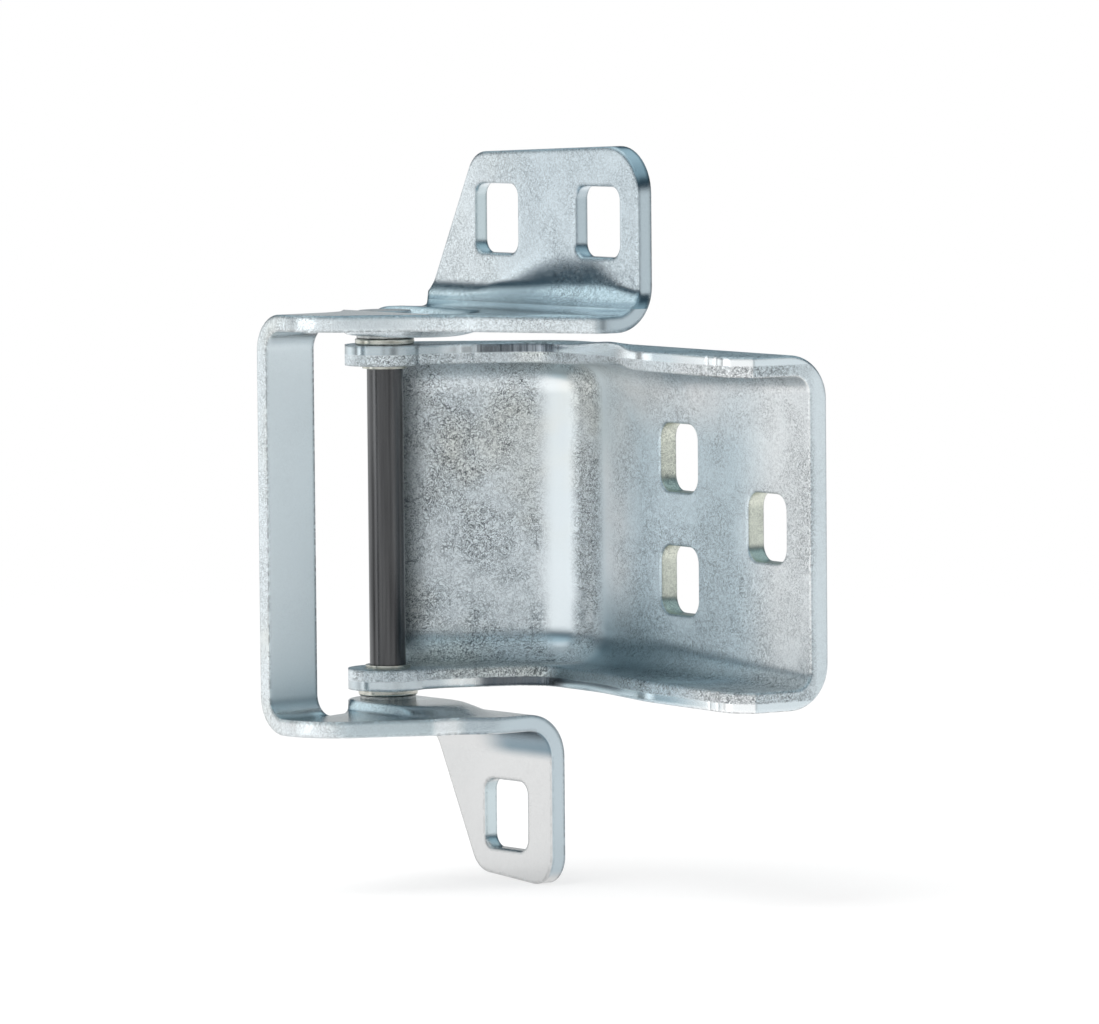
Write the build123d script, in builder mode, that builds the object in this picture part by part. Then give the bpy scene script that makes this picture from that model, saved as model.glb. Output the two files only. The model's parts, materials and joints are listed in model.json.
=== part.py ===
import os
from math import cos, radians, sin, tan

from build123d import *

os.makedirs("parts", exist_ok=True)

# Pin, bushes and washers
pin_dia = 9.525
pin_head_dia = 14.4
pin_head_t = 2.0
pin_foot_dia = 13.4
pin_foot_t = 1.8
pin_edge_r = 0.7
bush_bore_clear = 0.05
bush_wall = 1.1
bush_flange_dia = 15.6
bush_flange_t = 1.6
bush_collar = 0.9
bush_edge_r = 0.4
washer_dia = 14.7
washer_t = 0.9
washer_bore_clear = 0.15
thrust_clear = 0.15

# Channel leaf: a deep stamped channel with two ears and a plate for three bolts
leaf_t = 5.4
leaf_inner_h = 79.8
leaf_outer_r = 11.5
leaf_inner_r = 8.8
leaf_end_inner_r = 4.6
leaf_taper_x = 40.0
leaf_turn = -4.7
ear_r = 10.5
arm_angle = 56.5
arm_start = 3.1
valley_x = 12.0
valley_r = 18.0
plate_y = 52.9
plate_end_x = 117.6
leaf_slot_w = 17.0
leaf_slot_h = 17.8
leaf_slot_r = 4.2
leaf_slot_x = 58.7
leaf_slot_rise = 16.0
leaf_slot_pitch = 39.6

# Front edge of the channel's flanges, from the ear to the free end
ear_back = (-9.3, -3.3)
ear_front = (9.3, 3.3)
flange_neck = (10.2, 13.0)
flange_shoulder = (19.0, 36.2)
flange_brow = (46.0, 36.2)
flange_dip = (74.0, 31.4)
flange_tail = (112.0, 30.8)
flange_end_y = 35.7
neck_r = 20.0
shoulder_r = 12.0
brow_r = 60.0
tail_r = 7.0

# Shallow upright nicks where one trimming cut of the flange edge ran into the next
nick_r = 1.0
nick_sites = ((12.1, 15.6), (13.6, 19.6), (103.6, 30.2), (107.4, 30.15))

# Soft ripple in the upper flange, where the sheet gathers beside the fold
ripple_h = 1.9
ripple_fade = 0.05
ripple_start = 30.0
ripple_rise = 13.0
ripple_run = 17.0
ripple_fall = 8.0

# Strap leaf: one strap folded into a web, two legs and two bolting tabs
strap_t = 4.33
web_x = 1.6
web_front = 39.8
web_depth = 15.4
web_bend_r = 5.4
boss_h = 2.45
sink_inset = 0.6

# Soft flank of the legs' pads, from foot to top: share of the height, half width, run along the leg
pad_steps = (
    (0, 12.6, 28.0),
    (0.12, 12.0, 25.0),
    (0.5, 11.2, 20.5),
    (0.88, 10.4, 16.5),
    (1, 9.8, 13.5),
)

# Outline of the legs and tabs
lobe_r = 10.6
lobe_meet = (-6.9, -7.5)
notch = (5.0, -18.0)
notch_r = 4.5
leg_nose_x = 20.0
leg_nose_r = 19.0
upper_knee = (36.0, -14.0)
upper_knee_r = 40.0
upper_end_y = 9.0
upper_end_r = 6.5
lower_end_y = 6.0
lower_end_r = 12.0
tab_y = 21.4
tab_bend_r = 7.2
tab_left = -8.8
tab_root = 2.0
tab_root_r = 5.0
relief_x = -0.7
relief_y = 8.6
relief_r = 2.4
upper_tab_right = 79.8
upper_tab_rise = 40.7
upper_tab_fall = 2.8
upper_tab_lean = 19.8
upper_tab_left_r = 8.0
upper_tab_right_r = 12.0
lower_tab_right = 42.0
lower_tab_drop = 39.5
lower_tab_fall = 2.3
lower_tab_lean = 18.8
lower_tab_left_r = 8.0
lower_tab_right_r = 8.0
tab_slot_w = 18.0
tab_slot_h = 18.2
tab_slot_r = 3.4
upper_slot_mid_x = 41.75
upper_slot_pitch = 42.3
upper_slot_z = 78.2
lower_slot_x = 22.5
lower_slot_z = 78.6
seam = 0.5

# Rolled-over rims of the punched slots and of the blanks' cut edges
slot_edge_r = 0.6
rim_r = 0.6

# Heights counted from the middle of the pin
pin_r = pin_dia / 2
ear_in = leaf_inner_h / 2
ear_out = ear_in + leaf_t
boss_face = ear_out + bush_flange_t + thrust_clear + washer_t
leg_in = boss_face + boss_h
leg_out = leg_in + strap_t
sink_floor = leg_out - boss_h
bush_bore_r = pin_r + bush_bore_clear
bush_r = bush_bore_r + bush_wall

# Distances in plan counted from the pin
web_rear = web_front - web_depth
web_bend_end = web_x + web_bend_r
tab_back = tab_y + strap_t
tab_bend_y = tab_y - tab_bend_r
upper_tab_top = leg_out + upper_tab_rise
lower_tab_foot = leg_out + lower_tab_drop
reach = 2 * (plate_end_x + plate_y)

# The origin is on the upper tab's bolting face, midway between its two slots
base = Plane(origin=(-upper_slot_mid_x, -tab_y, -upper_slot_z))
front = Plane(origin=base.origin, x_dir=(1, 0, 0), z_dir=(0, -1, 0))
side = Plane(origin=base.origin, x_dir=(0, 1, 0), z_dir=(1, 0, 0))
leaf = base.rotated((0, 0, leaf_turn))
leaf_front = Plane(origin=base.origin, x_dir=leaf.x_dir, z_dir=-leaf.y_dir)
leaf_side = Plane(origin=base.origin, x_dir=leaf.y_dir, z_dir=leaf.x_dir)
leaf_x = Axis(leaf.origin, leaf.x_dir)
leaf_y = Axis(leaf.origin, leaf.y_dir)
pin_axis = Axis(base.origin, (0, 0, 1))

# Both legs' sheet before it is trimmed: flat, with a long pad pushed inward at the pin
with BuildPart() as leg_sheet:
    for end in (1, -1):
        with BuildSketch(base.offset(end * leg_in)):
            Rectangle(reach, reach)
        extrude(amount=end * strap_t)
        for inset, foot, mode in ((0, leg_in, Mode.ADD), (sink_inset, leg_out, Mode.SUBTRACT)):
            for share, half_width, run in pad_steps:
                with BuildSketch(base.offset(end * (foot - share * boss_h))):
                    with Locations((run / 2, 0)):
                        SlotCenterToCenter(run, 2 * (half_width - inset))
            loft(mode=mode)

# Upper tab: bent up from the upper leg, its left side slanted
with BuildPart() as upper_tab:
    with BuildSketch(side.offset(tab_left)):
        with BuildLine():
            FilletPolyline(
                (tab_bend_y - seam, leg_in),
                (tab_back, leg_in),
                (tab_back, upper_tab_top + upper_tab_fall),
                (tab_y, upper_tab_top + upper_tab_fall),
                (tab_y, leg_out),
                (tab_bend_y - seam, leg_out),
                radius=(0, tab_bend_r + strap_t, 0, 0, tab_bend_r, 0),
                close=True,
            )
        make_face()
    extrude(amount=upper_tab_right - tab_left)
    with BuildSketch(front.offset(reach)):
        with BuildLine():
            FilletPolyline(
                (tab_left, 0),
                (tab_left, leg_out + tab_root),
                (tab_left + upper_tab_lean, upper_tab_top),
                (upper_tab_right, upper_tab_top + upper_tab_fall),
                (upper_tab_right, 0),
                radius=(0, tab_root_r, upper_tab_left_r, upper_tab_right_r, 0),
                close=True,
            )
        make_face()
    extrude(amount=-2 * reach, mode=Mode.INTERSECT)

# Lower tab: bent down from the lower leg, shorter and with one slot
with BuildPart() as lower_tab:
    with BuildSketch(side.offset(tab_left)):
        with BuildLine():
            FilletPolyline(
                (tab_bend_y - seam, -leg_in),
                (tab_back, -leg_in),
                (tab_back, -lower_tab_foot - lower_tab_fall),
                (tab_y, -lower_tab_foot - lower_tab_fall),
                (tab_y, -leg_out),
                (tab_bend_y - seam, -leg_out),
                radius=(0, tab_bend_r + strap_t, 0, 0, tab_bend_r, 0),
                close=True,
            )
        make_face()
    extrude(amount=lower_tab_right - tab_left)
    with BuildSketch(front.offset(reach)):
        with BuildLine():
            FilletPolyline(
                (tab_left, 0),
                (tab_left, -leg_out - tab_root),
                (tab_left + lower_tab_lean, -lower_tab_foot),
                (lower_tab_right, -lower_tab_foot - lower_tab_fall),
                (lower_tab_right, 0),
                radius=(0, tab_root_r, lower_tab_left_r, lower_tab_right_r, 0),
                close=True,
            )
        make_face()
    extrude(amount=-2 * reach, mode=Mode.INTERSECT)

# Strap leaf: the two legs, the web that joins them, the tabs, pin holes and slots
with BuildPart() as strap_leaf:
    with BuildSketch(base.offset(boss_face)):
        with BuildLine():
            FilletPolyline(
                (web_bend_end, -web_front),
                (leg_nose_x, -web_front),
                upper_knee,
                (upper_tab_right, upper_end_y),
                (upper_tab_right, tab_bend_y),
                (tab_left, tab_bend_y),
                (seam - lobe_r, 0),
                lobe_meet,
                notch,
                (web_bend_end, -web_rear),
                radius=(0, leg_nose_r, upper_knee_r, upper_end_r, 0, 0, 0, 0, notch_r, 0),
                close=True,
            )
        make_face()
        Circle(lobe_r)
    extrude(amount=leg_out - boss_face)
    with BuildSketch(base.offset(-boss_face)):
        with BuildLine():
            FilletPolyline(
                (web_bend_end, -web_front),
                (leg_nose_x, -web_front),
                (lower_tab_right, lower_end_y),
                (lower_tab_right, tab_bend_y),
                (tab_left, tab_bend_y),
                (seam - lobe_r, 0),
                lobe_meet,
                notch,
                (web_bend_end, -web_rear),
                radius=(0, leg_nose_r, lower_end_r, 0, 0, 0, 0, notch_r, 0),
                close=True,
            )
        make_face()
        Circle(lobe_r)
    extrude(amount=boss_face - leg_out)
    add(leg_sheet.part, mode=Mode.INTERSECT)
    with BuildSketch(front.offset(web_front)):
        with BuildLine():
            FilletPolyline(
                (web_bend_end + seam, leg_out),
                (web_x - strap_t, leg_out),
                (web_x - strap_t, -leg_out),
                (web_bend_end + seam, -leg_out),
                (web_bend_end + seam, -leg_in),
                (web_x, -leg_in),
                (web_x, leg_in),
                (web_bend_end + seam, leg_in),
                radius=(
                    0,
                    web_bend_r + strap_t,
                    web_bend_r + strap_t,
                    0,
                    0,
                    web_bend_r,
                    web_bend_r,
                    0,
                ),
                close=True,
            )
        make_face()
    extrude(amount=-web_depth)
    add(upper_tab.part)
    add(lower_tab.part)
    tab_edges = edges().filter_by_position(Axis.Y, -seam, seam).sort_by(Axis.Z)
    fillet([tab_edges[0], tab_edges[-1]], rim_r)
    with BuildSketch(base.offset(-leg_out)):
        Circle(pin_r)
    extrude(amount=2 * leg_out, mode=Mode.SUBTRACT)
    with BuildSketch(front.offset(-tab_bend_y)):
        with Locations(
            (upper_slot_mid_x - upper_slot_pitch / 2, upper_slot_z),
            (upper_slot_mid_x + upper_slot_pitch / 2, upper_slot_z),
            (lower_slot_x, -lower_slot_z),
        ):
            RectangleRounded(tab_slot_w, tab_slot_h, tab_slot_r)
    extrude(amount=-2 * (tab_back - tab_bend_y), mode=Mode.SUBTRACT)
    slot_edges = edges(Select.LAST).group_by(Axis.Y)
    fillet(slot_edges[0] + slot_edges[-1], slot_edge_r)
    with BuildSketch(base.offset(boss_face)):
        with BuildLine():
            FilletPolyline(
                (tab_left - lobe_r, tab_y),
                (tab_left, tab_y),
                (relief_x, tab_bend_y),
                (tab_left - lobe_r, relief_y),
                radius=(0, 0, relief_r, 0),
                close=True,
            )
        make_face()
    extrude(amount=upper_tab_top - boss_face, mode=Mode.SUBTRACT)

# Channel leaf: directions of its slanted arm, and the fold between arm and plate
arm = Vector(cos(radians(arm_angle)), sin(radians(arm_angle)))
arm_in = Vector(sin(radians(arm_angle)), -cos(radians(arm_angle)))
fold_in = Vector(valley_x, plate_y)
fold_out = Vector(valley_x - leaf_t * tan(radians(arm_angle) / 2), plate_y + leaf_t)
arm_end_in = fold_in - arm * (fold_in.dot(arm) - arm_start)
arm_end_out = fold_out - arm * (fold_out.dot(arm) - arm_start)
overrun = 2 * ear_r + leaf_t

# The sheet's outer skin: web, fold and both flanges with their outer bend radius
with BuildPart() as leaf_skin:
    with BuildSketch(leaf.offset(-ear_out)):
        with BuildLine():
            FilletPolyline(
                (plate_end_x, plate_y + leaf_t),
                fold_out,
                arm_end_out - arm * overrun,
                arm_end_out - arm * overrun + arm_in * plate_y,
                (plate_end_x, -plate_y),
                radius=(0, valley_r + leaf_t, 0, 0, 0),
                close=True,
            )
        make_face()
    extrude(amount=2 * ear_out)
    fillet(edges().filter_by(GeomType.CIRCLE), leaf_outer_r)

# The hollow inside the channel: its inner bend is wide at the arm and tightens towards the free end
with BuildPart() as leaf_hollow:
    with BuildSketch(leaf.offset(-ear_in)):
        with BuildLine():
            FilletPolyline(
                (plate_end_x + overrun, plate_y),
                fold_in,
                arm_end_in - arm * 2 * overrun,
                arm_end_in - arm * 2 * overrun + arm_in * 2 * plate_y,
                (plate_end_x + overrun, -2 * plate_y),
                radius=(0, valley_r, 0, 0, 0),
                close=True,
            )
        make_face()
    extrude(amount=2 * ear_in)
    fillet(edges().filter_by(GeomType.CIRCLE), leaf_inner_r)
    for along, corner_r in ((leaf_taper_x, leaf_inner_r), (plate_end_x, leaf_end_inner_r)):
        with BuildSketch(leaf_side.offset(along)):
            RectangleRounded(2 * plate_y, 2 * ear_in, corner_r)
    loft()

# The ripple: highest at the flange's front edge, faded out before the web's bend
ripple_front = plate_y / 2
ripple_back = plate_y - leaf_inner_r
ripple_top = ripple_start + ripple_rise + ripple_run
with BuildPart() as ripple:
    for depth, height in ((ripple_front, ripple_h), (ripple_back, ripple_fade)):
        with BuildSketch(leaf_front.offset(-depth)):
            with BuildLine():
                Spline(
                    (ripple_start, ear_in),
                    (ripple_start + ripple_rise, ear_in + height),
                    (ripple_top, ear_in + height),
                    (ripple_top + ripple_fall, ear_in),
                    tangents=((1, 0), (1, 0)),
                )
                Polyline(
                    (ripple_top + ripple_fall, ear_in),
                    (ripple_top + ripple_fall, ear_in - seam),
                    (ripple_start, ear_in - seam),
                    (ripple_start, ear_in),
                )
            make_face()
    loft()

# Channel leaf: skin less hollow, trimmed to the flanges' outline, then bores and slots
with BuildPart() as channel_leaf:
    add(leaf_skin.part)
    add(Pos(0, 0, leaf_t) * ripple.part)
    add(leaf_hollow.part, mode=Mode.SUBTRACT)
    add(ripple.part, mode=Mode.SUBTRACT)
    with BuildSketch(leaf.offset(-ear_out)):
        with BuildLine():
            FilletPolyline(
                arm_end_out - arm_in * leaf_t,
                arm_end_in,
                ear_back,
                (0, -pin_r),
                ear_front,
                flange_neck,
                flange_shoulder,
                flange_brow,
                flange_dip,
                flange_tail,
                (plate_end_x, flange_end_y),
                (plate_end_x, 2 * plate_y),
                (arm_end_out.X, 2 * plate_y),
                radius=(0, 0, 0, 0, 0, neck_r, shoulder_r, brow_r, brow_r, tail_r, 0, 0, 0),
                close=True,
            )
        make_face()
        Circle(ear_r)
    extrude(amount=2 * ear_out + ripple_h, mode=Mode.INTERSECT)
    end_edges = edges().filter_by_position(leaf_x, plate_end_x - seam, plate_end_x + seam)
    straight_edges = edges().filter_by(GeomType.LINE)
    tail_edges = straight_edges.filter_by_position(leaf_x, flange_dip[0], flange_tail[0])
    fillet(end_edges + tail_edges, rim_r)
    with BuildSketch(leaf.offset(-ear_out)):
        with Locations(*nick_sites):
            Circle(nick_r)
    extrude(amount=2 * ear_out + ripple_h, mode=Mode.SUBTRACT)
    with BuildSketch(leaf.offset(-ear_out)):
        Circle(bush_r)
    extrude(amount=2 * ear_out, mode=Mode.SUBTRACT)
    with BuildSketch(leaf_front.offset(leaf_t - plate_y)):
        with Locations(
            (leaf_slot_x, leaf_slot_rise),
            (leaf_slot_x, -leaf_slot_rise),
            (leaf_slot_x + leaf_slot_pitch, 0),
        ):
            RectangleRounded(leaf_slot_w, leaf_slot_h, leaf_slot_r)
    extrude(amount=-3 * leaf_t, mode=Mode.SUBTRACT)
    slot_edges = edges(Select.LAST).group_by(leaf_y)
    fillet(slot_edges[0] + slot_edges[-1], slot_edge_r)

# Hinge pin: a plain rod, its head and riveted foot sunk in the legs' recesses
with BuildPart() as hinge_pin:
    with BuildSketch(base.offset(-sink_floor)):
        Circle(pin_r)
    extrude(amount=2 * sink_floor)
    with BuildSketch(base.offset(sink_floor)):
        Circle(pin_head_dia / 2)
    extrude(amount=pin_head_t)
    fillet(edges().group_by(Axis.Z)[-1], pin_edge_r)
    with BuildSketch(base.offset(-sink_floor)):
        Circle(pin_foot_dia / 2)
    extrude(amount=-pin_foot_t)
    fillet(edges().group_by(Axis.Z)[0], pin_edge_r)

# Flanged bushes: pressed into the ears from outside, their inner end stands proud
with BuildPart() as upper_bush:
    with BuildSketch(base.offset(ear_in - bush_collar)):
        Circle(bush_r)
        Circle(bush_bore_r, mode=Mode.SUBTRACT)
    extrude(amount=bush_collar + leaf_t)
    with BuildSketch(base.offset(ear_out)):
        Circle(bush_flange_dia / 2)
        Circle(bush_bore_r, mode=Mode.SUBTRACT)
    extrude(amount=bush_flange_t)
    fillet(edges().filter_by(GeomType.CIRCLE).sort_by(SortBy.RADIUS)[-2:], bush_edge_r)

with BuildPart() as lower_bush:
    with BuildSketch(base.offset(-ear_in + bush_collar)):
        Circle(bush_r)
        Circle(bush_bore_r, mode=Mode.SUBTRACT)
    extrude(amount=-bush_collar - leaf_t)
    with BuildSketch(base.offset(-ear_out)):
        Circle(bush_flange_dia / 2)
        Circle(bush_bore_r, mode=Mode.SUBTRACT)
    extrude(amount=-bush_flange_t)
    fillet(edges().filter_by(GeomType.CIRCLE).sort_by(SortBy.RADIUS)[-2:], bush_edge_r)

# Thrust washers: lie on the bosses, between the legs and the bushes' flanges
with BuildPart() as upper_washer:
    with BuildSketch(base.offset(boss_face)):
        Circle(washer_dia / 2)
        Circle(pin_r + washer_bore_clear, mode=Mode.SUBTRACT)
    extrude(amount=-washer_t)

with BuildPart() as lower_washer:
    with BuildSketch(base.offset(-boss_face)):
        Circle(washer_dia / 2)
        Circle(pin_r + washer_bore_clear, mode=Mode.SUBTRACT)
    extrude(amount=washer_t)

strap_leaf.part.label = "strap_leaf"
export_step(strap_leaf.part, "parts/strap_leaf.step")
channel_leaf.part.label = "channel_leaf"
export_step(channel_leaf.part, "parts/channel_leaf.step")
hinge_pin.part.label = "hinge_pin"
export_step(hinge_pin.part, "parts/hinge_pin.step")
upper_bush.part.label = "upper_bush"
export_step(upper_bush.part, "parts/upper_bush.step")
lower_bush.part.label = "lower_bush"
export_step(lower_bush.part, "parts/lower_bush.step")
upper_washer.part.label = "upper_washer"
export_step(upper_washer.part, "parts/upper_washer.step")
lower_washer.part.label = "lower_washer"
export_step(lower_washer.part, "parts/lower_washer.step")
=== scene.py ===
import json
import math

import bmesh
import bpy
from mathutils import Matrix, Vector


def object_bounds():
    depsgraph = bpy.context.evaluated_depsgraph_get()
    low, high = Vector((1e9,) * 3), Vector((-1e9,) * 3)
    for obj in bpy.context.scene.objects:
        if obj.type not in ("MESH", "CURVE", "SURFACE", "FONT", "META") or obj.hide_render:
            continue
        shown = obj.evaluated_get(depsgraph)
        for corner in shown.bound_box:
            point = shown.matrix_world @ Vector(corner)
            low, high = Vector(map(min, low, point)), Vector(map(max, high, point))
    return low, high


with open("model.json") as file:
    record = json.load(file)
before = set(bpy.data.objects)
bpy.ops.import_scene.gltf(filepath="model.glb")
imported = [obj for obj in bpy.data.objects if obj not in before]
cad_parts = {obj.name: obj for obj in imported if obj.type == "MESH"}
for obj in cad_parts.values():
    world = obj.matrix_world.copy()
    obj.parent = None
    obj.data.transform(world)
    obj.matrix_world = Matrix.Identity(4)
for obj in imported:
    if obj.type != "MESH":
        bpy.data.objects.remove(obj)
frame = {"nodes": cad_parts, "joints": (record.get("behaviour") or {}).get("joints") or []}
cad_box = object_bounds()

# Strap leaf: one strap of pressed steel, folded into a web, two legs and two bolting tabs, then
# bright zinc plated. The rolled web stays satin; the tabs carry fine dark scribbles of pickling.
# Bands along X, Y and Z are in metres from the middle of the pin.


def new_material(name):
    made = bpy.data.materials.new(name)
    made.use_nodes = True
    return made


def link(mat, a, b):
    mat.node_tree.links.new(a, b)


def node(mat, kind, **values):
    """A new node; each value goes to the setting or the socket of that name."""
    made = mat.node_tree.nodes.new(kind)
    for name, value in values.items():
        if hasattr(made, name):
            setattr(made, name, value)
        else:
            made.inputs[name.replace("_", " ")].default_value = value
    return made


def step(mat, value, band, levels=(0.0, 1.0)):
    """A soft step across the band of value, from the first level to the second."""
    made = node(
        mat,
        "ShaderNodeMapRange",
        interpolation_type="SMOOTHSTEP",
        From_Min=band[0],
        From_Max=band[1],
        To_Min=levels[0],
        To_Max=levels[1],
    )
    link(mat, value, made.inputs["Value"])
    return made.outputs["Result"]


def maths(mat, operation, a, b=0.0):
    made = node(mat, "ShaderNodeMath", operation=operation)
    for socket, given in ((made.inputs[0], a), (made.inputs[1], b)):
        if isinstance(given, (int, float)):
            socket.default_value = given
        else:
            link(mat, given, socket)
    return made.outputs[0]


def overlap(mat, share, *others):
    """The product of several shares."""
    for other in others:
        share = maths(mat, "MULTIPLY", share, other)
    return share


def blend(mat, share, below, above):
    """Colour below where share is 0, above where it is 1."""
    made = node(mat, "ShaderNodeMix", data_type="RGBA")
    link(mat, share, made.inputs[0])
    for socket, given in ((made.inputs[6], below), (made.inputs[7], above)):
        if isinstance(given, tuple):
            socket.default_value = given + (1.0,)
        else:
            link(mat, given, socket)
    return made.outputs[2]


def coats(mat, colour, layers):
    """The colour with each (share, tint) layer laid over it in turn."""
    for share, tint in layers:
        colour = blend(mat, share, colour, tint)
    return colour


def noise(mat, place, scale, detail=2.0, roughness=0.5, distortion=0.0):
    made = node(
        mat,
        "ShaderNodeTexNoise",
        Scale=scale,
        Detail=detail,
        Roughness=roughness,
        Distortion=distortion,
    )
    link(mat, place, made.inputs["Vector"])
    return made.outputs["Fac"]


def clouds(mat, place, scale, band, levels=(0.0, 1.0)):
    """Soft patches of the plating."""
    return step(mat, noise(mat, place, scale, detail=3.0, roughness=0.6), band, levels)


falling = (1.0, 0.0)


def scribbles(mat, place, scale, width):
    """Thin wandering lines, where a warped noise crosses its middle value. 1 on a line, 0 off it."""
    warped = noise(mat, place, scale, detail=2.0, roughness=0.6, distortion=2.2)
    off_line = maths(mat, "ABSOLUTE", maths(mat, "SUBTRACT", warped, 0.5))
    return step(mat, off_line, (0.0, width), falling)


def zinc(mat, place, colour, amount, satin, relief, rim_roll, chatter=None, dish=None, burnish=None):
    """Plated steel of that colour, with scribbles in a share given by amount, over a satin of that
    roughness. Its rims are worn to a broken dark line of width rim_roll; chatter adds fine relief,
    dish a wide hollow and burnish a polish."""
    line_sets = ((390.0, 0.035), (640.0, 0.04), (200.0, 0.02))
    line_colour = (0.03, 0.04, 0.05)
    line_roughness = 0.15
    rim_turn = (0.86, 0.95)
    rim_specks = 900.0
    speck_band = (0.40, 0.56)
    speck_levels = (0.0, 0.7)
    polish_gain = 0.55
    sway_scale = 42.0
    sway_height = 0.2
    sway_depth = 0.001
    grain_scale = 1500.0
    grain_height = 0.6
    grain_depth = 0.0001

    shader = mat.node_tree.nodes["Principled BSDF"]
    shader.inputs["Metallic"].default_value = 1.0
    lines = 0.0
    for scale, width in line_sets:
        lines = maths(mat, "MAXIMUM", lines, scribbles(mat, place, scale, width))
    share = overlap(mat, lines, amount)

    soft_edge = node(mat, "ShaderNodeBevel", samples=4, Radius=rim_roll)
    turned = node(mat, "ShaderNodeVectorMath", operation="DOT_PRODUCT")
    link(mat, soft_edge.outputs["Normal"], turned.inputs[0])
    link(mat, node(mat, "ShaderNodeNewGeometry").outputs["True Normal"], turned.inputs[1])
    specks = noise(mat, place, rim_specks, detail=3.0, roughness=0.7)
    rim = overlap(
        mat,
        step(mat, turned.outputs["Value"], rim_turn, falling),
        step(mat, specks, speck_band, speck_levels),
    )
    dark = maths(mat, "MAXIMUM", share, rim)
    link(mat, blend(mat, dark, colour, line_colour), shader.inputs["Base Color"])

    rough = step(mat, share, (0.0, 1.0), (satin, satin + line_roughness))
    grain = maths(mat, "MULTIPLY", noise(mat, place, grain_scale), grain_height)
    if burnish:
        rough = maths(mat, "SUBTRACT", rough, maths(mat, "MULTIPLY", burnish, polish_gain * satin))
        grain = overlap(mat, grain, maths(mat, "SUBTRACT", 1.0, burnish))
    link(mat, rough, shader.inputs["Roughness"])

    sway = maths(mat, "MULTIPLY", noise(mat, place, sway_scale, detail=1.0), sway_height)
    if dish:
        sway = maths(mat, "ADD", sway, dish)
    wave = node(mat, "ShaderNodeBump", Strength=1.0, Distance=sway_depth)
    link(mat, sway, wave.inputs["Height"])
    link(mat, soft_edge.outputs["Normal"], wave.inputs["Normal"])
    height = maths(mat, "SUBTRACT", grain, share)
    if chatter:
        height = maths(mat, "ADD", height, chatter)
    bump = node(mat, "ShaderNodeBump", Strength=relief, Distance=grain_depth)
    link(mat, height, bump.inputs["Height"])
    link(mat, wave.outputs["Normal"], bump.inputs["Normal"])
    link(mat, bump.outputs["Normal"], shader.inputs["Normal"])


pin_middle = Vector(frame["joints"][0]["pos_m"])


def axes(mat, vector):
    """The X, Y and Z of a vector."""
    made = node(mat, "ShaderNodeSeparateXYZ")
    link(mat, vector, made.inputs[0])
    return made.outputs


def from_pin(mat):
    """Place on the piece, counted from the middle of the pin."""
    shifted = node(mat, "ShaderNodeVectorMath", operation="SUBTRACT")
    shifted.inputs[1].default_value = pin_middle
    link(mat, node(mat, "ShaderNodeTexCoord").outputs["Object"], shifted.inputs[0])
    return shifted.outputs[0]


zinc_strap = new_material("bright_zinc_strap")
strap_place = from_pin(zinc_strap)
strap_at = axes(zinc_strap, strap_place)
strap_facing = axes(zinc_strap, node(zinc_strap, "ShaderNodeTexCoord").outputs["Normal"])

# The two tabs stand at the legs' far edge; the lower one is duller, with painted shade under its bend
tab_start = (0.014, 0.018)
upper_tab_span = (0.004, 0.040)
lower_tab_top = (-0.056, -0.050)
lower_bend_span = (0.010, 0.026)
lower_bend_foot = (-0.0635, -0.0600)
on_tab = step(zinc_strap, strap_at["Y"], tab_start)
upper_tab = overlap(zinc_strap, on_tab, step(zinc_strap, strap_at["X"], upper_tab_span))
lower_tab = overlap(zinc_strap, on_tab, step(zinc_strap, strap_at["Z"], lower_tab_top, falling))
# Painted shade: a dark patch on the lower tab just under its bend
lower_bend_painted_shade = overlap(
    zinc_strap,
    lower_tab,
    step(zinc_strap, strap_at["X"], lower_bend_span),
    step(zinc_strap, strap_at["Z"], lower_bend_foot),
)

# Punched walls of the slots, the rolled web, painted lighter as a painted reflection over its bluish
# tone, its lower half painted darker as painted shade, and the tabs' sheared ends
slot_side = (0.5, 0.9)
slot_span = (0.034, 0.036)
slot_depth = (0.0205, 0.0215)
squarely = (0.6, 0.9)
web_back = (-0.012, -0.010)
web_shade = (-0.050, -0.014)
tab_end = (0.036, 0.038)
slot_wall = overlap(
    zinc_strap,
    step(zinc_strap, strap_facing["X"], slot_side),
    step(zinc_strap, strap_at["X"], slot_span, falling),
    step(zinc_strap, strap_at["Y"], slot_depth),
)
# The web's coat is bluish and painted lighter: a painted reflection
strap_web = overlap(
    zinc_strap,
    step(zinc_strap, maths(zinc_strap, "ABSOLUTE", strap_facing["X"]), squarely),
    step(zinc_strap, strap_at["Y"], web_back, falling),
)
# Painted shade: the web's lower half is painted darker
web_low_painted_shade = overlap(zinc_strap, strap_web, step(zinc_strap, strap_at["Z"], web_shade, falling))
strap_cut = overlap(
    zinc_strap,
    step(zinc_strap, strap_facing["X"], squarely),
    step(zinc_strap, strap_at["X"], tab_end),
)
cloud_band = (0.45, 0.75)
strap_clouds = clouds(zinc_strap, strap_place, 30.0, cloud_band)
strap_colour = coats(
    zinc_strap,
    blend(zinc_strap, strap_clouds, (0.81, 0.86, 0.885), (0.83, 0.85, 0.82)),
    (
        (upper_tab, (0.70, 0.775, 0.82)),
        (lower_tab, (0.68, 0.685, 0.685)),
        # Painted shade under the lower tab's bend
        (lower_bend_painted_shade, (0.20, 0.28, 0.33)),
        (slot_wall, (0.60, 0.69, 0.72)),
        # Painted reflection on the web, then painted shade on its lower half
        (strap_web, (0.86, 0.925, 0.95)),
        (web_low_painted_shade, (0.60, 0.69, 0.725)),
        (strap_cut, (0.50, 0.58, 0.625)),
    ),
)

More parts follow.
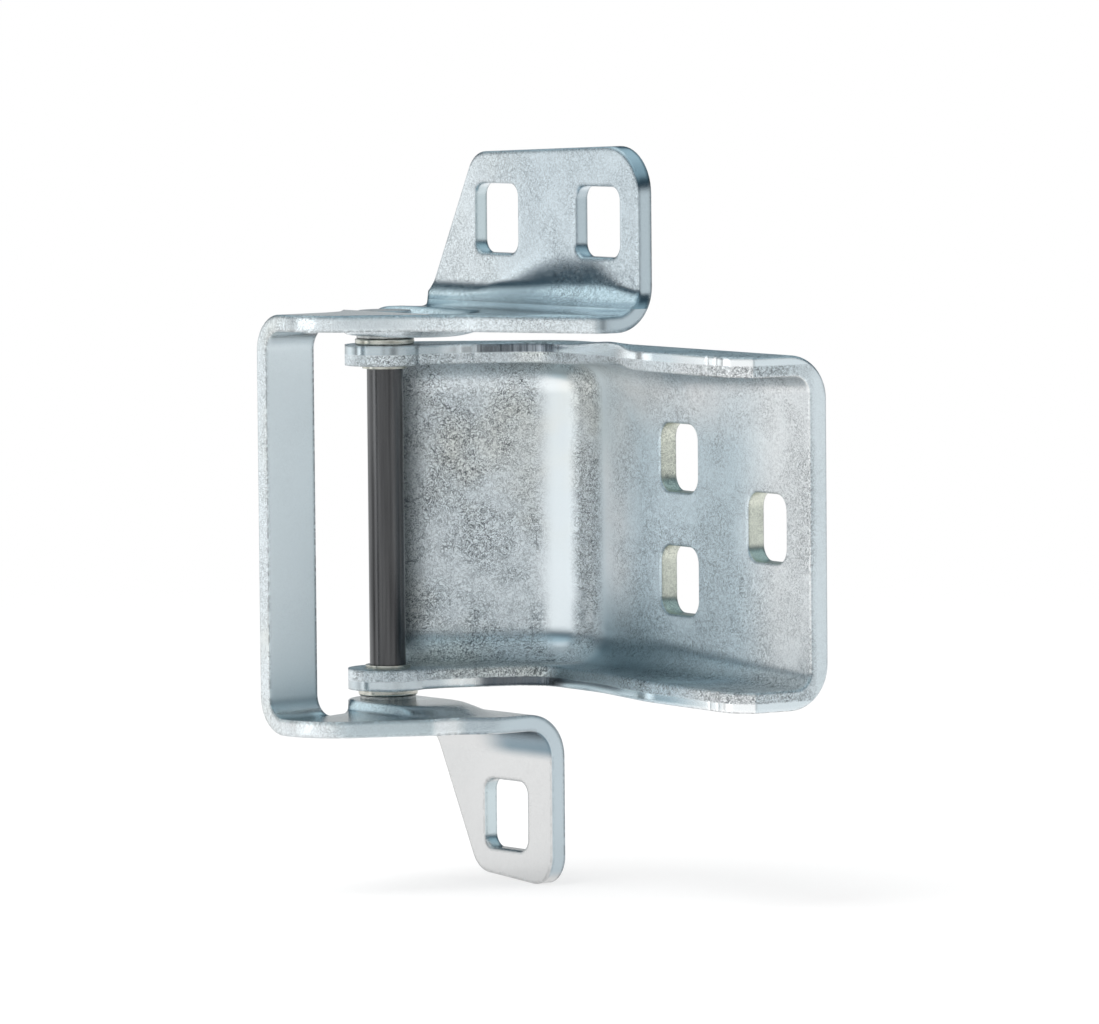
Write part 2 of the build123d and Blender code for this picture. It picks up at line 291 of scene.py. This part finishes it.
# Scribbles crowd the faces that are square to Y, in patches, and thin out on the lower tab
square_band = (0.2, 0.9)
square_levels = (0.06, 0.5)
low_end = (-0.060, -0.052)
low_end_levels = (0.15, 1.0)
patch_band = (0.3, 0.7)
patch_levels = (0.35, 1.0)
strap_amount = overlap(
    zinc_strap,
    step(zinc_strap, maths(zinc_strap, "ABSOLUTE", strap_facing["Y"]), square_band, square_levels),
    clouds(zinc_strap, strap_place, 70.0, patch_band, patch_levels),
    step(zinc_strap, strap_at["Z"], low_end, low_end_levels),
)

# A soft hollow above the upper tab's bend, tallest towards the right and run out at the end
hollow_grows = (0.005, 0.050)
hollow_ends = (0.056, 0.080)
hollow_end_levels = (1.0, 0.2)
hollow_foot = 0.0563
hollow_rise = 0.0152
hollow_least = 0.002
hollow_slope = 250.0
hollow_share = overlap(
    zinc_strap,
    step(zinc_strap, strap_at["X"], hollow_grows),
    step(zinc_strap, strap_at["X"], hollow_ends, hollow_end_levels),
)
hollow_height = maths(
    zinc_strap,
    "ADD",
    maths(zinc_strap, "MULTIPLY", hollow_share, hollow_rise),
    hollow_least,
)
above_foot = maths(zinc_strap, "SUBTRACT", strap_at["Z"], hollow_foot)
hollow_left = node(zinc_strap, "ShaderNodeMath", operation="SUBTRACT", use_clamp=True)
hollow_left.inputs[0].default_value = 1.0
link(
    zinc_strap,
    maths(zinc_strap, "DIVIDE", above_foot, hollow_height),
    hollow_left.inputs[1],
)
tab_hollow = overlap(
    zinc_strap,
    hollow_left.outputs[0],
    hollow_left.outputs[0],
    hollow_height,
    hollow_slope,
)
zinc(
    zinc_strap,
    strap_place,
    strap_colour,
    strap_amount,
    satin=0.42,
    relief=0.16,
    rim_roll=0.0016,
    dish=tab_hollow,
    burnish=maths(zinc_strap, "SUBTRACT", 1.0, strap_web),
)
frame["nodes"]["strap_leaf"].material_slots[0].material = zinc_strap

# Hinge pin: a drawn steel rod, blackened and oiled, pressed through both legs. Fine streaks run along
# it. Its head sits in the upper leg's recess, its foot is riveted over in the lower one, and both of
# these ends are left bright.


def stretched(mat, place, scale):
    made = node(mat, "ShaderNodeMapping", Scale=scale)
    link(mat, place, made.inputs["Vector"])
    return made.outputs["Vector"]


def tones(mat, value, stops):
    """A ramp through (position, colour) stops."""
    made = node(mat, "ShaderNodeValToRGB")
    while len(made.color_ramp.elements) < len(stops):
        made.color_ramp.elements.new(1.0)
    for element, (position, colour) in zip(made.color_ramp.elements, stops):
        element.position = position
        element.color = colour + (1.0,)
    link(mat, value, made.inputs["Fac"])
    return made.outputs["Color"]


def bare_metal(mat, metallic, colour, streaks, rough_low, rough_high):
    """Unplated metal of that colour, its gloss broken by streaks."""
    shader = mat.node_tree.nodes["Principled BSDF"]
    shader.inputs["Metallic"].default_value = metallic
    link(mat, colour, shader.inputs["Base Color"])
    rough = node(mat, "ShaderNodeMapRange", To_Min=rough_low, To_Max=rough_high)
    link(mat, streaks, rough.inputs["Value"])
    link(mat, rough.outputs["Result"], shader.inputs["Roughness"])


black_pin = new_material("black_oxide_pin")
along_pin = (1.0, 1.0, 0.03)
pin_end = (0.0490, 0.0505)
bright_steel = (0.52, 0.56, 0.58)
pin_place = from_pin(black_pin)
pin_streaks = noise(black_pin, stretched(black_pin, pin_place, along_pin), 600.0, detail=3.0)
pin_tone = tones(
    black_pin,
    pin_streaks,
    [(0.35, (0.05, 0.05, 0.052)), (0.70, (0.13, 0.13, 0.133))],
)
pin_reach = maths(black_pin, "ABSOLUTE", axes(black_pin, pin_place)["Z"])
pin_colour = blend(black_pin, step(black_pin, pin_reach, pin_end), pin_tone, bright_steel)
bare_metal(black_pin, 0.85, pin_colour, pin_streaks, rough_low=0.16, rough_high=0.30)
frame["nodes"]["hinge_pin"].material_slots[0].material = black_pin

# Thrust washers: thin plated steel rings that lie on the legs' pads. They are stamped, so their faces
# keep the strip's dull grain.
dull_washer = new_material("dull_zinc_washer")
washer_place = node(dull_washer, "ShaderNodeTexCoord").outputs["Object"]
washer_patches = noise(dull_washer, washer_place, 300.0)
washer_colour = blend(dull_washer, washer_patches, (0.47, 0.49, 0.50), (0.52, 0.52, 0.48))
zinc(
    dull_washer,
    washer_place,
    washer_colour,
    washer_patches,
    satin=0.3,
    relief=0.3,
    rim_roll=0.0003,
)
for ring in ("upper_washer", "lower_washer"):
    frame["nodes"][ring].material_slots[0].material = dull_washer

# Bushes: flanged sleeves drawn from plain strip and pressed into the ears from outside. The flange
# shows fine turned lines and a faint bronze cast.
bush_metal = new_material("drawn_bush_metal")
round_bush = (0.08, 0.08, 1.0)
bush_place = node(bush_metal, "ShaderNodeTexCoord").outputs["Object"]
bush_lines = noise(bush_metal, stretched(bush_metal, bush_place, round_bush), 2600.0)
bush_tone = tones(
    bush_metal,
    bush_lines,
    [(0.3, (0.42, 0.41, 0.35)), (0.7, (0.66, 0.66, 0.61))],
)
bare_metal(bush_metal, 1.0, bush_tone, bush_lines, rough_low=0.18, rough_high=0.34)
for sleeve in ("upper_bush", "lower_bush"):
    frame["nodes"][sleeve].material_slots[0].material = bush_metal

# Channel leaf: a deep steel pressing with two ears, a slanted arm, a fold and a flat web for three
# bolts, bright zinc plated. Dark scribbles crowd the arm and the web; the sheared edges are smooth
# outside and torn inside.
zinc_channel = new_material("bright_zinc_channel")
channel_place = from_pin(zinc_channel)
channel_at = axes(zinc_channel, channel_place)
channel_facing = axes(zinc_channel, node(zinc_channel, "ShaderNodeTexCoord").outputs["Normal"])
from_middle = maths(zinc_channel, "ABSOLUTE", channel_at["Z"])

# Sheared edges of ears and flanges, from the line where the cut tears
edge_side = (0.35, 0.75)
edge_tear = (0.0426, 0.0431)
sheared = overlap(
    zinc_channel,
    step(zinc_channel, maths(zinc_channel, "ABSOLUTE", channel_facing["Z"]), edge_side, falling),
    step(zinc_channel, from_middle, edge_tear),
)

# The flat web: bluish, with a painted sheen beside the fold and under the upper rim, a painted
# highlight towards its end, and painted shade lower down
web_start = (0.024, 0.030)
fold_sheen = (0.034, 0.048)
rim_sheen = (0.018, 0.034)
sheen_band = (0.35, 0.65)
sheen_levels = (0.55, 1.0)
shade_top = (-0.036, -0.012)
shade_end = (0.044, 0.088)
bright_end = (0.086, 0.108)
end_cut = (0.112, 0.114)
on_web = step(zinc_channel, channel_at["X"], web_start)
# Painted sheen: brighter beside the fold and under the upper rim, in patches
sheen_place = maths(
    zinc_channel,
    "MAXIMUM",
    step(zinc_channel, channel_at["X"], fold_sheen, falling),
    step(zinc_channel, channel_at["Z"], rim_sheen),
)
sheen_patches = step(zinc_channel, noise(zinc_channel, channel_place, 45.0), sheen_band, sheen_levels)
painted_sheen_web = overlap(zinc_channel, on_web, sheen_place, sheen_patches)
# Painted shade: darker low on the web, towards the fold
painted_shade_low = overlap(
    zinc_channel,
    on_web,
    step(zinc_channel, channel_at["Z"], shade_top, falling),
    step(zinc_channel, channel_at["X"], shade_end, falling),
)
# Painted highlight: brighter towards the web's far end
web_end_painted_highlight = step(zinc_channel, channel_at["X"], bright_end)
end_face = overlap(
    zinc_channel,
    step(zinc_channel, channel_facing["X"], squarely),
    step(zinc_channel, channel_at["X"], end_cut),
)

# A painted reflection of the dark pin on the arm beside it, the punched walls of the web's slots,
# and the ears' rims
by_pin_span = (0.0145, 0.0215)
by_pin_levels = (0.95, 0.0)
by_pin_height = (0.034, 0.041)
wall_side = (0.3, 0.6)
wall_height = (0.032, 0.034)
wall_start = (0.040, 0.042)
wall_end = (0.108, 0.110)
ear_span = (0.008, 0.014)
# Painted reflection: the arm is painted dark beside the pin, where it would mirror the pin
pin_painted_reflection = overlap(
    zinc_channel,
    step(zinc_channel, channel_at["Y"], by_pin_span, by_pin_levels),
    step(zinc_channel, from_middle, by_pin_height, falling),
)
web_slot_wall = overlap(
    zinc_channel,
    step(zinc_channel, maths(zinc_channel, "ABSOLUTE", channel_facing["Y"]), wall_side, falling),
    step(zinc_channel, from_middle, wall_height, falling),
    step(zinc_channel, channel_at["X"], wall_start),
    step(zinc_channel, channel_at["X"], wall_end, falling),
)
ear_rim = overlap(zinc_channel, sheared, step(zinc_channel, channel_at["Y"], ear_span, falling))

# The flange's shoulder beside the fold: dark as painted shade, darker on its lower half, with
# upright comb marks of the trimming cut
shoulder_front = (0.017, 0.022)
shoulder_end = (0.026, 0.034)
lower_half = (-0.01, 0.01)
along_comb = (1.0, 1.0, 0.04)
comb_band = (0.47, 0.62)
# Painted shade: the shoulder is painted dark, darker still on its lower half
shoulder = overlap(
    zinc_channel,
    sheared,
    step(zinc_channel, channel_at["Y"], shoulder_front),
    step(zinc_channel, channel_at["X"], shoulder_end, falling),
)
lower_shoulder_painted_shade = overlap(
    zinc_channel,
    shoulder,
    step(zinc_channel, channel_at["Z"], lower_half, falling),
)
comb_place = stretched(zinc_channel, channel_place, along_comb)
comb = noise(zinc_channel, comb_place, 800.0, detail=3.0, roughness=0.7)
cut_marks = overlap(zinc_channel, shoulder, step(zinc_channel, comb, comb_band))
channel_clouds = clouds(zinc_channel, channel_place, 32.0, cloud_band)
channel_colour = coats(
    zinc_channel,
    blend(zinc_channel, channel_clouds, (0.85, 0.91, 0.94), (0.88, 0.90, 0.87)),
    (
        (on_web, (0.74, 0.85, 0.905)),
        # Painted sheen on the web
        (painted_sheen_web, (0.97, 0.99, 1.0)),
        # Painted shade low on the web
        (painted_shade_low, (0.44, 0.55, 0.60)),
        # Painted reflection of the dark pin
        (pin_painted_reflection, (0.12, 0.14, 0.145)),
        # Painted highlight at the web's end
        (web_end_painted_highlight, (0.96, 0.975, 0.98)),
        (end_face, (0.74, 0.815, 0.85)),
        (web_slot_wall, (0.72, 0.75, 0.66)),
        (ear_rim, (0.52, 0.58, 0.61)),
        # Painted shade on the shoulder, darker on its lower half
        (shoulder, (0.28, 0.31, 0.34)),
        (lower_shoulder_painted_shade, (0.13, 0.145, 0.16)),
        (cut_marks, (0.12, 0.14, 0.16)),
    ),
)

# Scribbles: dense on the arm, none on the smooth inside of the fold, fewer towards the web's end
arm_end = (0.0415, 0.0465)
arm_levels = (0.9, 0.02)
web_lines_start = (0.027, 0.036)
web_lines_levels = (0.02, 0.55)
web_lines_end = (0.098, 0.116)
web_lines_end_levels = (1.0, 0.3)
fold_lines_start = (0.015, 0.019)
fold_lines_levels = (0.0, 0.8)
fold_lines_end = (0.024, 0.029)
spread_band = (0.36, 0.6)
spread_levels = (0.45, 1.0)
web_lines = overlap(
    zinc_channel,
    step(zinc_channel, channel_at["X"], web_lines_start, web_lines_levels),
    step(zinc_channel, channel_at["X"], web_lines_end, web_lines_end_levels),
)
fold_lines = overlap(
    zinc_channel,
    step(zinc_channel, channel_at["X"], fold_lines_start, fold_lines_levels),
    step(zinc_channel, channel_at["X"], fold_lines_end, falling),
)
most_lines = step(zinc_channel, channel_at["Y"], arm_end, arm_levels)
for lines_here in (web_lines, fold_lines):
    most_lines = maths(zinc_channel, "MAXIMUM", most_lines, lines_here)
channel_amount = overlap(
    zinc_channel,
    most_lines,
    clouds(zinc_channel, channel_place, 60.0, spread_band, spread_levels),
    maths(zinc_channel, "SUBTRACT", 1.0, sheared),
)

# The web is polished by the draw, and rises gently towards its two rims
polish_front = (0.0400, 0.0455)
polish_levels = (0.0, 0.5)
rim_rise = (0.012, 0.052)
rise_start = (0.020, 0.060)
rise_end = (0.060, 0.118)
rise_levels = (3.5, 1.0)
channel_polish = maths(
    zinc_channel,
    "MAXIMUM",
    sheared,
    step(zinc_channel, channel_at["Y"], polish_front, polish_levels),
)
web_rise = overlap(
    zinc_channel,
    step(zinc_channel, from_middle, rim_rise),
    step(zinc_channel, channel_at["X"], rise_start),
    step(zinc_channel, channel_at["X"], rise_end, rise_levels),
)
zinc(
    zinc_channel,
    channel_place,
    channel_colour,
    channel_amount,
    satin=0.38,
    relief=0.35,
    rim_roll=0.0010,
    chatter=cut_marks,
    dish=web_rise,
    burnish=channel_polish,
)
frame["nodes"]["channel_leaf"].material_slots[0].material = zinc_channel

# Stage: a pale matt floor, round, under the lower tab, that fades out into a pale room. Both look
# white to the eye, and the floor keeps the soft shadow.


def clear_nodes(mat):
    for old in list(mat.node_tree.nodes):
        mat.node_tree.nodes.remove(old)


def looked_at(mat):
    """1 on a ray from the eye, also where it comes by a gloss or through glass."""
    ray = node(mat, "ShaderNodeLightPath").outputs
    mirrored = maths(mat, "MAXIMUM", ray["Is Glossy Ray"], ray["Is Transmission Ray"])
    return maths(mat, "MAXIMUM", ray["Is Camera Ray"], mirrored)


def either(mat, share, below, above):
    """Shader below where share is 0, above where it is 1."""
    made = node(mat, "ShaderNodeMixShader")
    for socket, given in zip(made.inputs, (share, below, above)):
        link(mat, given, socket)
    return made.outputs[0]


def grey(level):
    return (level, level, level, 1.0)


floor_z = cad_box[0][2]
floor_r = 1.1
floor_sides = 96
floor_fade = (0.30, 1.05)
floor_turns = [2.0 * math.pi * k / floor_sides for k in range(floor_sides)]
floor_rim = [(floor_r * math.cos(turn), floor_r * math.sin(turn), floor_z) for turn in floor_turns]
floor_mesh = bpy.data.meshes.new("floor")
floor_mesh.from_pydata(floor_rim, [], [list(range(floor_sides))])
floor = bpy.data.objects.new("floor", floor_mesh)
bpy.context.scene.collection.objects.link(floor)
pale_floor = new_material("pale_floor")
clear_nodes(pale_floor)
floor_place = node(pale_floor, "ShaderNodeTexCoord").outputs["Object"]
floor_span = node(pale_floor, "ShaderNodeVectorMath", operation="LENGTH")
link(pale_floor, floor_place, floor_span.inputs[0])
floor_matt = node(pale_floor, "ShaderNodeBsdfDiffuse", Color=grey(0.9)).outputs[0]
floor_half = node(pale_floor, "ShaderNodeBsdfDiffuse", Color=grey(0.42)).outputs[0]
floor_glow = node(pale_floor, "ShaderNodeEmission", Color=grey(1.0), Strength=0.64).outputs[0]
floor_clear = node(pale_floor, "ShaderNodeBsdfTransparent").outputs[0]
floor_shown = node(pale_floor, "ShaderNodeAddShader")
link(pale_floor, floor_half, floor_shown.inputs[0])
link(pale_floor, floor_glow, floor_shown.inputs[1])
floor_solid = either(pale_floor, looked_at(pale_floor), floor_matt, floor_shown.outputs[0])
floor_share = step(pale_floor, floor_span.outputs["Value"], floor_fade)
floor_output = node(pale_floor, "ShaderNodeOutputMaterial")
link(
    pale_floor,
    either(pale_floor, floor_share, floor_solid, floor_clear),
    floor_output.inputs["Surface"],
)
floor_mesh.materials.append(pale_floor)

room = bpy.data.worlds.new("pale_room")
bpy.context.scene.world = room
room.use_nodes = True
clear_nodes(room)
room_dim = node(room, "ShaderNodeBackground", Color=grey(0.7)).outputs[0]
room_white = node(room, "ShaderNodeBackground", Color=grey(1.0)).outputs[0]
room_output = node(room, "ShaderNodeOutputWorld")
link(room, either(room, looked_at(room), room_dim, room_white), room_output.inputs["Surface"])

# Light tent: a wide cloth dome that only the metal mirrors. Its wall is pale with brighter and dimmer
# strips, and its roof is a dim grey blue that grows paler overhead, with a lit window on the left.
tent_r = 4.0
tent_skirt = -1.0
tent_shell = bmesh.new()
bmesh.ops.create_uvsphere(tent_shell, u_segments=64, v_segments=32, radius=tent_r)
low_points = [point for point in tent_shell.verts if point.co.z < tent_skirt]
bmesh.ops.delete(tent_shell, geom=low_points, context="VERTS")
tent_mesh = bpy.data.meshes.new("light_tent")
tent_shell.to_mesh(tent_mesh)
tent_shell.free()
tent = bpy.data.objects.new("light_tent", tent_mesh)
bpy.context.scene.collection.objects.link(tent)
tent.visible_camera = False
tent.visible_diffuse = False
tent.visible_shadow = False
tent_cloth = new_material("tent_cloth")
clear_nodes(tent_cloth)
tent_place = node(tent_cloth, "ShaderNodeTexCoord").outputs["Object"]
tent_round = node(tent_cloth, "ShaderNodeTexGradient", gradient_type="RADIAL")
link(tent_cloth, tent_place, tent_round.inputs["Vector"])

# Brightness of the wall by its direction in degrees about the upright axis
wall_levels = (
    (-180, 0.95), (-168, 1.25), (-150, 1.4), (-144, 0.95), (-136, 0.92), (-131, 0.3), (-125, 0.4),
    (-119, 1.8), (-96, 1.8), (-91, 0.95), (-50, 0.95), (-44, 0.72), (-40, 0.48), (-36, 0.8),
    (-25, 0.8), (-19, 0.4), (-12, 0.3), (-4, 0.5), (6, 0.8), (26, 0.85), (36, 0.95), (60, 0.75),
    (90, 0.6), (140, 0.6), (172, 0.75), (180, 0.95),
)
wall_tint = Vector((0.97, 1.0, 1.01))
wall_tone = tones(
    tent_cloth,
    tent_round.outputs["Fac"],
    [((turn + 180.0) / 360.0, tuple(level * wall_tint)) for turn, level in wall_levels],
)
roof_start = (0.08, 0.2)
window_side = (0.17, 0.22)
window_rise = (0.38, 0.56)
window_tint = (0.80, 0.95, 1.0)
tent_rise = maths(tent_cloth, "DIVIDE", axes(tent_cloth, tent_place)["Z"], tent_r)
roof_tone = tones(
    tent_cloth,
    tent_rise,
    [
        (0.1, (0.035, 0.066, 0.09)),
        (0.40, (0.028, 0.06, 0.084)),
        (0.56, (0.38, 0.53, 0.60)),
        (1.0, (0.46, 0.61, 0.68)),
    ],
)
roof_window = overlap(
    tent_cloth,
    step(tent_cloth, tent_round.outputs["Fac"], window_side, falling),
    step(tent_cloth, tent_rise, window_rise),
)
tent_tone = blend(tent_cloth, step(tent_cloth, tent_rise, roof_start), wall_tone, roof_tone)
tent_glow = node(tent_cloth, "ShaderNodeEmission")
link(tent_cloth, blend(tent_cloth, roof_window, tent_tone, window_tint), tent_glow.inputs["Color"])
tent_output = node(tent_cloth, "ShaderNodeOutputMaterial")
link(tent_cloth, tent_glow.outputs[0], tent_output.inputs["Surface"])
tent_mesh.materials.append(tent_cloth)

# Overhead lamp: a soft disc above and before the hinge, which lights the floor and throws the shadow
# on it. The metal doesn't mirror it.
overhead = bpy.data.lights.new("overhead_panel", "AREA")
overhead.shape = "DISK"
overhead.size = 1.2
overhead.energy = 12.0
overhead_lamp = bpy.data.objects.new("overhead_panel", overhead)
overhead_lamp.location = (-0.2, -0.5, 1.4)
lamp_aim = Vector((0.0, 0.0, -0.1)) - overhead_lamp.location
overhead_lamp.rotation_euler = lamp_aim.to_track_quat("-Z", "Y").to_euler()
overhead_lamp.visible_glossy = False
bpy.context.scene.collection.objects.link(overhead_lamp)

# Camera: a long lens, almost level with the pin and turned to look square at the slanted arm.
view_turn = 0.9025
view_dip = 0.0735
view_roll = -0.0088
lens_px = 8000.0
frame_px = 1099.0
eye = Vector((1.6300, -1.2866, 0.0769))
back = Vector(
    (
        math.sin(view_turn) * math.cos(view_dip),
        -math.cos(view_turn) * math.cos(view_dip),
        math.sin(view_dip),
    )
)
level_right = Vector((math.cos(view_turn), math.sin(view_turn), 0.0))
level_up = back.cross(level_right)
right = level_right * math.cos(view_roll) + level_up * math.sin(view_roll)
up = level_up * math.cos(view_roll) - level_right * math.sin(view_roll)
camera_data = bpy.data.cameras.new("camera")
camera_data.sensor_width = 36.0
camera_data.sensor_fit = "HORIZONTAL"
camera_data.lens = lens_px / frame_px * camera_data.sensor_width
camera_data.clip_end = 100.0
camera = bpy.data.objects.new("camera", camera_data)
camera.matrix_world = Matrix(
    (
        (right.x, up.x, back.x, eye.x),
        (right.y, up.y, back.y, eye.y),
        (right.z, up.z, back.z, eye.z),
        (0.0, 0.0, 0.0, 1.0),
    )
)
bpy.context.scene.collection.objects.link(camera)
bpy.context.scene.camera = camera
bpy.context.scene.view_settings.view_transform = "Standard"
